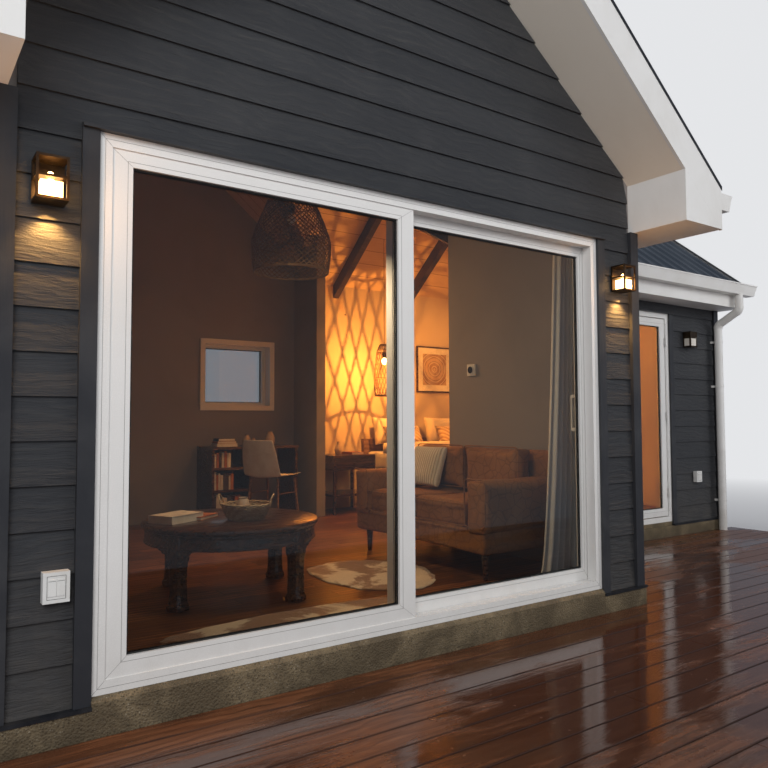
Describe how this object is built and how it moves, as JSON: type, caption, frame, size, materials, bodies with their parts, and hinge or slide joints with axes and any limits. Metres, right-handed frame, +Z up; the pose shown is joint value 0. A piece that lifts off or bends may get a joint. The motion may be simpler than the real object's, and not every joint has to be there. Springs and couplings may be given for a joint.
{
  "type": "beach house",
  "caption": "Small gabled beach house with a wide sliding patio door, a lower side range with a glazed door, boxed eaves, ribbed metal roofs and a timber deck",
  "frame": {"origin": "On the ground under the middle of the gabled block, in the plane of the patio door face", "axes": "+X towards the side range, -Y out through the patio door, +Z up"},
  "size_m": [7.717, 7.353, 4.5391],
  "materials": {
    "concrete": "rough exposed aggregate",
    "floor_timber": "oiled boards",
    "cladding": "painted lapped boards with embossed grain",
    "plaster": "painted plaster",
    "roof_timber": "lined rafters and boarding",
    "dark_timber": "dark stained",
    "roof_metal": "dark blue grey coating",
    "white_paint": "white paint",
    "white_plastic": "white satin",
    "window_glass": "clear double glazing",
    "bronze": "dark bronze",
    "lamp_glass": "glowing lamp glass",
    "deck_timber": "oiled wet boards",
    "tan_leather": "worn tan leather",
    "bed_timber": "oiled",
    "linen": "linen",
    "woven_cane": "woven cane",
    "hide": "short hide"
  },
  "bodies": {
    "house": {"block_plinth": "concrete", "range_plinth": "concrete", "timber_floor": "floor_timber", "front_wall_left": "cladding", "front_wall_right": "cladding", "front_gable_wall": "cladding", "left_wall": "cladding", "right_wall": "cladding", "rear_gable_wall": "cladding", "range_rear_wall": "cladding", "range_front_wall_left": "cladding", "range_front_wall_right": "cladding", "range_front_wall_head": "cladding", "range_end_wall": "cladding", "nib_wall": "plaster", "main_roof_deck": "roof_timber", "range_roof_deck": "roof_timber", "ceiling_beams": "dark_timber", "main_roof_sheets": "roof_metal", "range_roof_sheets": "roof_metal", "ridge_caps": "roof_metal", "valley_flashings": "roof_metal", "barge_boards": "white_paint", "verge_soffits": "white_paint", "main_eaves": "white_paint", "range_eaves": "white_paint", "gutters": "white_plastic", "downpipes": "white_plastic", "corner_boards": "cladding", "base_strips": "roof_metal", "door_trims": "cladding", "patio_door_frame": "white_plastic", "fixed_panel_frame": "white_plastic", "fixed_panel_glass": "window_glass", "deck_door_frame": "white_plastic", "rear_window_frame": "white_plastic", "rear_window_glass": "window_glass", "wall_lamps": "bronze", "lantern_glasses": "lamp_glass", "wall_switches": "white_plastic", "deck_joists": "deck_timber", "deck_boards": "deck_timber", "coffee_table": "dark_timber", "sofa_frame": "tan_leather", "sofa_cushions": "tan_leather", "bed_base": "bed_timber", "bed_linen": "linen", "small_furniture": "dark_timber", "desk_chair": "white_plastic", "woven_shades": "woven_cane", "wall_picture": "dark_timber", "curtain": "linen", "hide_rug": "hide"},
    "sliding_panel": {"sliding_panel_frame": "white_plastic", "sliding_panel_glass": "window_glass"},
    "deck_door": {"deck_door_leaf": "white_plastic", "deck_door_glass": "window_glass"}
  },
  "joints": [
    {"name": "patio_slide", "type": "slide", "parent": "house", "child": "sliding_panel", "axis": [-1, 0, 0], "range_m": [0, 1.3]},
    {"name": "deck_door_hinge", "type": "hinge", "parent": "house", "child": "deck_door", "pos_m": [4.257, 1.412, 1.3], "axis": [0, 0, 1], "range_deg": [0, 90]}
  ]
}
